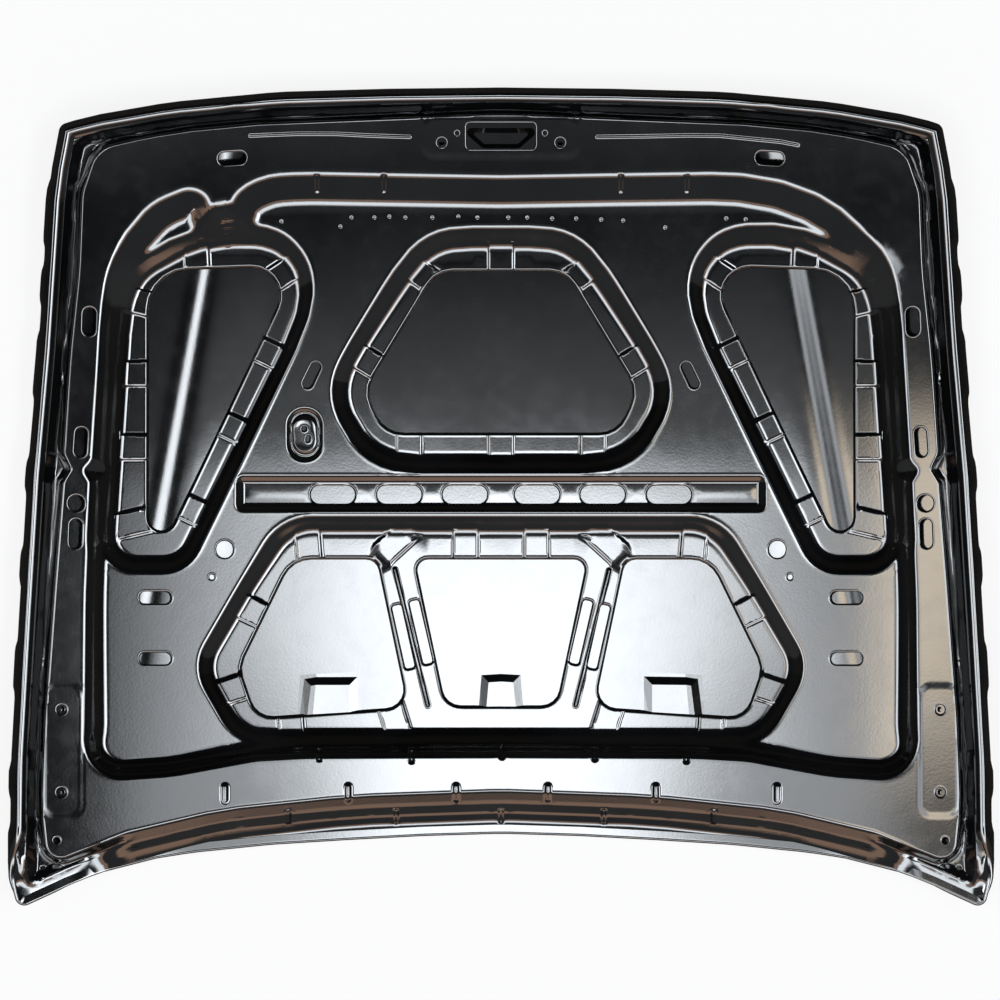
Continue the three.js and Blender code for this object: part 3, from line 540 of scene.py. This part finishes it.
def filled_mesh(outer, holes, bends, grid_step, clearance):
    """Triangles inside the outer line and outside the holes, with edges along every bend."""
    lines = [outer] + holes + bends
    cells = set()
    for line in lines:
        for point in even(line, 3.0):
            cells.add((int(point[0] // clearance), int(point[1] // clearance)))
    low, high = outer.min(0), outer.max(0)
    xs = np.arange(low[0] + grid_step / 2, high[0], grid_step)
    ys = np.arange(low[1] + grid_step / 2, high[1], grid_step)
    loose = []
    for row, y in enumerate(ys):
        for x in xs + (grid_step / 2 if row % 2 else 0):
            cell = (int(x // clearance), int(y // clearance))
            near = any((cell[0] + i, cell[1] + j) in cells for i in (-1, 0, 1) for j in (-1, 0, 1))
            if not near:
                loose.append((x, y))
    points, edges = [], []
    for line in lines:
        first = len(points)
        points += [Vector(p) for p in line]
        edges += [(first + i, first + (i + 1) % len(line)) for i in range(len(line))]
    points += [Vector(p) for p in loose]
    verts, _, faces, _, _, _ = delaunay_2d_cdt(points, edges, [], 0, MERGE_DISTANCE, False)
    verts = np.array([v[:] for v in verts])
    faces = np.array(faces)
    middles = verts[faces].mean(1)
    keep = signed_distance(middles, outer) < 0
    for line in holes:
        near = near_line(middles, line, 5)
        keep[near] &= signed_distance(middles[near], line) > 0
    faces = faces[keep]
    used = np.unique(faces)
    renumber = np.zeros(len(verts), int)
    renumber[used] = np.arange(len(used))
    return verts[used], renumber[faces]


# %% [markdown]
# The sheet gets its thickness from a Solidify modifier, which also closes the cut edges. The
# panel's underside faces the skin, so it is thinned to keep the piece light.

# %% Sheet objects
def thin_underside(piece, count, most):
    """Joins small triangles of the hidden side, whose points Solidify adds after the first ones."""
    mesh = piece.data
    corners = [tuple(face.vertices) for face in mesh.polygons]
    rim = {v for face in corners if min(face) < count <= max(face) for v in face}
    group = piece.vertex_groups.new(name="underside")
    group.add([v for v in range(count, len(mesh.vertices)) if v not in rim], 1.0, "REPLACE")
    modifier = piece.modifiers.new("thinning", "DECIMATE")
    modifier.vertex_group = group.name
    modifier.ratio = most / sum(len(face) - 2 for face in corners)
    bpy.ops.object.modifier_apply(modifier=modifier.name)
    piece.vertex_groups.clear()


def sheet_object(name, points, faces, thickness, most=None):
    """Points in millimetres of the drawing frame become one closed sheet in metres.

    A sheet with a value for most is thinned to that many triangles, on its underside only.
    """
    mesh = bpy.data.meshes.new(name)
    placed = (points + np.array([0, SHIFT_Y, SHIFT_Z])) / 1000
    mesh.from_pydata(placed.tolist(), [], [list(map(int, f)) for f in faces])
    mesh.update()
    piece = bpy.data.objects.new(name, mesh)
    bpy.context.scene.collection.objects.link(piece)
    bpy.ops.object.select_all(action="DESELECT")
    piece.select_set(True)
    bpy.context.view_layer.objects.active = piece
    bpy.ops.object.shade_smooth()
    modifier = piece.modifiers.new("thickness", "SOLIDIFY")
    modifier.thickness = thickness / 1000
    modifier.offset = -1
    bpy.ops.object.modifier_apply(modifier=modifier.name)
    if most:
        thin_underside(piece, len(points), most)
    bpy.ops.object.shade_smooth_by_angle(angle=math.radians(50))
    piece.select_set(False)
    print(name, len(piece.data.vertices), "points", len(piece.data.polygons), "faces")
    return piece


# %% Inner panel
PANEL_TRIANGLES = 195000
panel_line = trim_line(PANEL_TRIM, PANEL_REAR_TRIM)
flat, triangles = filled_mesh(panel_line, hole_lines, bend_rings(), PANEL_GRID, 5.0)
heights = crown(flat[:, 0], flat[:, 1]) + panel_lift(flat)
panel = sheet_object("inner_panel_sheet", np.column_stack([flat, heights]), triangles,
                     PANEL_THICKNESS, PANEL_TRIANGLES)
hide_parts("inner_panel")
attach(panel, "root")

# %% [markdown]
# ## The outer skin
#
# The skin is one sheet too. Its middle follows the crown, with a pressed crease on each side.
# Round it runs a section in small steps: the bend at the silhouette, the flank that leans in,
# the fold and the return that grips the panel. Along the rear the same number of steps makes
# the flat hem, so the two sections blend at the rear corners.

# %% Sections of the rim: inset from the silhouette and lift
LIP_SECTION = [(34, 0), (24, 0), (14, 0), (8, 0.4), (4, 1.6), (1.6, 3.4), (0.3, 5.6), (0, 7.6),
               (0.8, 10.4), (2.6, 13.4), (5.0, 17.2), (7.4, 21.2), (9.2, 23.5), (10.8, 24.6),
               (12.6, 25.0), (14.8, 24.9), (17.4, 24.4), (20.0, 23.6), (22.6, 22.4), (25, 20.8)]
HEM_SECTION = [(34, 0), (24, 0), (14, 0), (8, 0), (4, 0), (2.2, 0.1), (1.2, 0.3), (0.5, 0.8),
               (0.2, 1.4), (0.2, 2.0), (0.5, 2.6), (1.2, 3.1), (2.2, 3.3), (3.5, 3.4), (5, 3.4),
               (7, 3.4), (9, 3.4), (10.5, 3.4), (12, 3.4), (13.5, 3.4)]


def crease_depth(points):
    """A soft pressed step that runs back and outwards on each side."""
    line = CREASE_AT_MIDDLE - CREASE_TAPER * points[:, 1]
    away = np.abs(points[:, 0]) - line
    return CREASE_DEPTH * 0.5 * (1 - np.tanh(away / CREASE_WIDTH)) * smoothstep(away, -140, -30)


def skin_height(points):
    return crown(points[:, 0], points[:, 1]) - crease_depth(points)


SCALLOP, SCALLOP_FADE = 3.4, 6
SCALLOP_ROWS = [(183, 244), (268, 302), (334, 396), (459, 490), (549, 582), (644, 690),
                (766, 795), (828, 888)]


def scallop(points):
    """The fold's flank bulges a little at places along both sides, read as rows of the photo."""
    rows = PHOTO_MIDDLE[1] - points[:, 1] / PIXEL
    bulge = np.zeros(len(points))
    for first, last in SCALLOP_ROWS:
        begun = smoothstep(rows, first - SCALLOP_FADE, first + SCALLOP_FADE)
        ended = smoothstep(rows, last - SCALLOP_FADE, last + SCALLOP_FADE)
        bulge = np.maximum(bulge, begun * (1 - ended))
    return SCALLOP * bulge * (np.abs(points[:, 0]) > 600)


# %% Skin mesh
def section_line(step):
    (side_inset, side_lift), (rear_inset, rear_lift) = LIP_SECTION[step], HEM_SECTION[step]
    line = trim_line(side_inset, rear_inset)
    fade = 1 - smoothstep(np.full(len(line), side_inset), 1.5, 11)
    line[:, 0] += np.sign(line[:, 0]) * scallop(line) * fade
    share = lip_share(edge_line)
    lift = rear_lift + (side_lift - rear_lift) * share
    return np.column_stack([line, skin_height(line) + lift])


inner_line = section_line(0)[:, :2]
crease_lines = []
for side in (-1, 1):
    for away in range(-40, 41, 4):
        ends = [(side * (CREASE_AT_MIDDLE - CREASE_TAPER * y + away), y) for y in (530, -500)]
        crease_lines.append(even(np.array(ends), 14.0)[:-1])
flat, triangles = filled_mesh(inner_line, [], crease_lines, SKIN_GRID, 3.0)
points = np.column_stack([flat, skin_height(flat)])
count = len(inner_line)
previous = [int(np.argmin(((flat - p) ** 2).sum(1))) for p in inner_line]
faces = [list(t) for t in triangles]
rows = [points]
total = len(points)
for step in range(1, len(LIP_SECTION)):
    rows.append(section_line(step))
    current = list(range(total, total + count))
    total += count
    for i in range(count):
        j = (i + 1) % count
        faces.append([previous[j], previous[i], current[i], current[j]])
    previous = current
skin = sheet_object("outer_skin_sheet", np.vstack(rows), faces, SKIN_THICKNESS)
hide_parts("outer_skin")
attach(skin, "root")

# %% [markdown]
# ## Shader maths
#
# A small class wraps a socket, so that node maths reads as ordinary expressions.

# %% Shader helper
class Wire:
    def __init__(self, tree, socket):
        self.tree, self.socket = tree, socket

    def maths(self, operation, other=None, swap=False):
        values = [self, other] if other is not None else [self]
        if swap:
            values.reverse()
        return node(self.tree, "ShaderNodeMath", {"operation": operation}, *values)

    def __add__(self, other):
        return self.maths("ADD", other)

    def __mul__(self, other):
        return self.maths("MULTIPLY", other)

    def __sub__(self, other):
        return self.maths("SUBTRACT", other)

    def __rsub__(self, other):
        return self.maths("SUBTRACT", other, True)

    __radd__ = __add__
    __rmul__ = __mul__

    def step(self, low, high):
        return node(self.tree, "ShaderNodeMapRange", SMOOTH, self, low, high)


SMOOTH = {"interpolation_type": "SMOOTHSTEP"}


def node(tree, kind, settings, *values, out=0, **named):
    """One node: its settings first, then its inputs by place or by name."""
    made = tree.nodes.new(kind)
    for name, value in settings.items():
        setattr(made, name, value)
    pairs = list(enumerate(values)) + [(n.replace("_", " "), v) for n, v in named.items()]
    for place, value in pairs:
        if value is None:
            continue
        if isinstance(value, Wire):
            tree.links.new(value.socket, made.inputs[place])
        else:
            made.inputs[place].default_value = value
    return Wire(tree, made.outputs[out])


def new_material(name):
    material = bpy.data.materials.new(name)
    material.use_nodes = True
    material.node_tree.nodes.clear()
    return material, material.node_tree


def close_material(tree, shader):
    output = tree.nodes.new("ShaderNodeOutputMaterial")
    tree.links.new(shader.socket, output.inputs["Surface"])


# %% [markdown]
# ## Black electrocoat
#
# Every steel piece went through one dip tank, so they share one finish: a thin black primer with
# a gloss that shows the lamps as streaks. It has a fine orange peel, a little dust and some
# duller patches, at scales from a millimetre to a hand's width.

# %% Electrocoat
COAT_ROUGHNESS = 0.065
COAT_DARK, COAT_PALE = (0.002, 0.0021, 0.0023, 1), (0.0045, 0.0046, 0.005, 1)


def coat_material():
    material, tree = new_material("black_electrocoat")
    place = node(tree, "ShaderNodeTexCoord", {}, out=3)
    cloud = node(tree, "ShaderNodeTexNoise", {}, Vector=place, Scale=7.0, Detail=4.0)
    film = node(tree, "ShaderNodeTexNoise", {}, Vector=place, Scale=45.0, Detail=3.0)
    peel = node(tree, "ShaderNodeTexNoise", {}, Vector=place, Scale=260.0, Detail=2.0)
    dust = node(tree, "ShaderNodeTexNoise", {}, Vector=place, Scale=900.0, Detail=1.0)
    specks = dust.step(0.68, 0.76) * film.step(0.45, 0.7)
    colour = node(tree, "ShaderNodeMix", {"data_type": "RGBA"}, out=2)
    mix = tree.nodes[-1]
    mix.inputs[6].default_value = COAT_DARK
    mix.inputs[7].default_value = COAT_PALE
    tree.links.new((cloud.step(0.35, 0.7) + specks * 0.5).socket, mix.inputs[0])
    rough = COAT_ROUGHNESS + cloud.step(0.3, 0.75) * 0.02 + film.step(0.4, 0.7) * 0.015
    rough = rough + specks * 0.1
    bump = node(tree, "ShaderNodeBump", {}, Height=peel + film * 0.6, Strength=0.03,
                Distance=0.0006)
    shader = node(tree, "ShaderNodeBsdfPrincipled", {}, Base_Color=colour, Roughness=rough,
                  Normal=bump)
    principled = tree.nodes[-1]
    principled.inputs["IOR"].default_value = 1.6
    principled.inputs["Specular IOR Level"].default_value = 1.0
    close_material(tree, shader)
    return material


coat = coat_material()
for piece in (panel, skin):
    piece.data.materials.clear()
    piece.data.materials.append(coat)

# %% [markdown]
# The mastic drops between the sheets are matt and slightly rough, like dried sealant.

# %% Mastic and the hidden steel pieces
def mastic_material():
    material, tree = new_material("mastic")
    place = node(tree, "ShaderNodeTexCoord", {}, out=3)
    grain = node(tree, "ShaderNodeTexNoise", {}, Vector=place, Scale=600.0, Detail=3.0)
    tint = node(tree, "ShaderNodeMix", {"data_type": "RGBA"}, out=2)
    mix = tree.nodes[-1]
    mix.inputs[6].default_value = (0.008, 0.008, 0.008, 1)
    mix.inputs[7].default_value = (0.02, 0.02, 0.02, 1)
    tree.links.new(grain.step(0.3, 0.7).socket, mix.inputs[0])
    bump = node(tree, "ShaderNodeBump", {}, Height=grain, Strength=0.3, Distance=0.0008)
    shader = node(tree, "ShaderNodeBsdfPrincipled", {}, Base_Color=tint,
                  Roughness=0.5 + grain * 0.3, Normal=bump)
    close_material(tree, shader)
    return material


mastic = mastic_material()
DROP_RADIUS = 0.0105


def mastic_drop(name):
    """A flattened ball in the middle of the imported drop, from skin to flange."""
    low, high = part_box(name)
    middle = [(a + b) / 2 for a, b in zip(low, high)]
    bpy.ops.mesh.primitive_uv_sphere_add(segments=20, ring_count=10, radius=1, location=middle)
    drop = bpy.context.object
    drop.name = name + "_drop"
    drop.scale = (DROP_RADIUS, DROP_RADIUS, (high[2] - low[2]) / 2)
    bpy.ops.object.transform_apply(location=True, rotation=False, scale=True)
    bpy.ops.object.shade_smooth()
    drop.data.materials.append(mastic)
    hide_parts(name)
    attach(drop, "root")
    return drop


drops = [mastic_drop(name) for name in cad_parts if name.startswith("mastic")]
print("mastic drops:", len(drops))
for name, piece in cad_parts.items():
    if name not in ("inner_panel", "outer_skin") and not name.startswith("mastic"):
        for place in piece.material_slots:
            place.material = coat

# %% [markdown]
# ## Camera, floor and light
#
# The photograph looks straight down through a long lens. The light is a studio sky: one soft
# box beside the lens towards the bonnet's front edge, a dim veil, pale bands at the sides and
# round the lens, a cream card on the left and a copper glow low at the rear. It is drawn in the
# world, so that its reflection depends only on how the sheet is tilted.

# %% Camera
HEIGHT_OF_LENS = 16.0
bpy.ops.object.camera_add(location=(-0.0015, (SHIFT_Y - 3.0) / 1000, HEIGHT_OF_LENS),
                          rotation=(0, 0, 0))
camera = bpy.context.object
camera.data.sensor_width = 36
camera.data.lens = 36 * (HEIGHT_OF_LENS - 0.07) / PIXEL
camera.data.clip_end = 100
bpy.context.scene.camera = camera
print("lens", round(camera.data.lens, 1), "mm")

# %% Floor
bpy.ops.mesh.primitive_plane_add(size=30, location=(0, 0, -0.0005))
floor = bpy.context.object
floor.name = "floor"
bpy.ops.object.transform_apply(location=True, rotation=False, scale=False)
floor_material, tree = new_material("pale_floor")
white = node(tree, "ShaderNodeEmission", {}, Color=(1, 1, 1, 1), Strength=1.0)
paint = node(tree, "ShaderNodeBsdfDiffuse", {}, Color=(0.75, 0.75, 0.75, 1))
# In the sheet's reflections the floor is a dark brown: painted shade in the reflections. Bounce light
# sees it pale grey and the camera sees it white.
floor_shade_in_reflections = node(tree, "ShaderNodeBsdfDiffuse", {}, Color=(0.05, 0.045, 0.04, 1))
seen = node(tree, "ShaderNodeLightPath", {}, out=0)
mirrored_ray = node(tree, "ShaderNodeLightPath", {}, out=3)
floor_with_reflected_shade = node(tree, "ShaderNodeMixShader", {}, mirrored_ray, paint, floor_shade_in_reflections)
close_material(tree, node(tree, "ShaderNodeMixShader", {}, seen * 0.85, floor_with_reflected_shade, white))
floor.data.materials.append(floor_material)

# %% Studio sky
bpy.context.scene.view_settings.view_transform = "Standard"
world = bpy.data.worlds.new("studio")
bpy.context.scene.world = world
world.use_nodes = True
sky = world.node_tree
sky.nodes.clear()
heading = node(sky, "ShaderNodeTexCoord", {}, out=0)
sky.nodes.new("ShaderNodeSeparateXYZ")
split = sky.nodes[-1]
sky.links.new(heading.socket, split.inputs[0])
east, north, up = (Wire(sky, split.outputs[i]) for i in range(3))


def window(wire, low, rise, fall, high):
    """One between rise and fall, zero below low and above high."""
    return wire.step(low, rise) * (1 - wire.step(fall, high))


west, south = -1 * east, -1 * north
sides = node(sky, "ShaderNodeMath", {"operation": "ABSOLUTE"}, east)
narrow = 0.17 - north.step(0.03, 0.075) * 0.06
reach = node(sky, "ShaderNodeMapRange", SMOOTH, sides, 0.04, narrow)
span = (1 - reach * 0.8 - sides.step(0.16, 0.2) * 0.2) * (1 - north.step(0.11, 0.17))
veil = north.step(-0.19, -0.04) * 0.42 * (1 - east.step(0.13, 0.19)) * (1 - west.step(0.15, 0.24))
veil = (0.02 + veil) * (1 - north.step(0.11, 0.2))
soft_box = north.step(-0.034, 0.014) * span * 10.5
ring_band = window(up, 0.8, 0.85, 0.9, 0.95) * (1 - north.step(0.1, 0.25)) * 7.0
bands = window(west, 0.22, 0.26, 0.28, 0.33) * 3.0 + window(east, 0.29, 0.34, 0.4, 0.47) * 8.0
along_middle = (1 - north.step(0.08, 0.2)) * (1 - south.step(0.2, 0.35))
side_bands = bands * (1 - sides.step(0.5, 0.6)) * along_middle
cool = veil + soft_box + side_bands + ring_band + south.step(0.18, 0.23) * 0.12
cream = window(west, 0.165, 0.185, 0.215, 0.25) * window(north, -0.08, -0.015, 0.035, 0.085) * 5.0
cool = cool * up.step(-0.05, 0.05)
glow = node(sky, "ShaderNodeBackground", {}, Color=(0.9, 0.95, 1.0, 1), Strength=cool)
warm = cream + (1 - up.step(0.2, 0.6)) * 0.025
haze = node(sky, "ShaderNodeBackground", {}, Color=(1.0, 0.86, 0.68, 1), Strength=warm)
low_copper = window(up, 0.12, 0.2, 0.34, 0.42) * south.step(0.6, 0.85) * 1.3
copper = low_copper + window(up, 0.72, 0.76, 0.79, 0.82) * south.step(0.1, 0.3) * 1.5
ember = node(sky, "ShaderNodeBackground", {}, Color=(1.0, 0.6, 0.4, 1), Strength=copper)
pale_light = node(sky, "ShaderNodeAddShader", {}, glow, haze)
all_light = node(sky, "ShaderNodeAddShader", {}, pale_light, ember)
sky.nodes.new("ShaderNodeOutputWorld")
sky.links.new(all_light.socket, sky.nodes[-1].inputs["Surface"])

# %% [markdown]
# ## The end

# The finished look has to keep inside the imported model's box.

# %% Finish
bpy.context.view_layer.update()
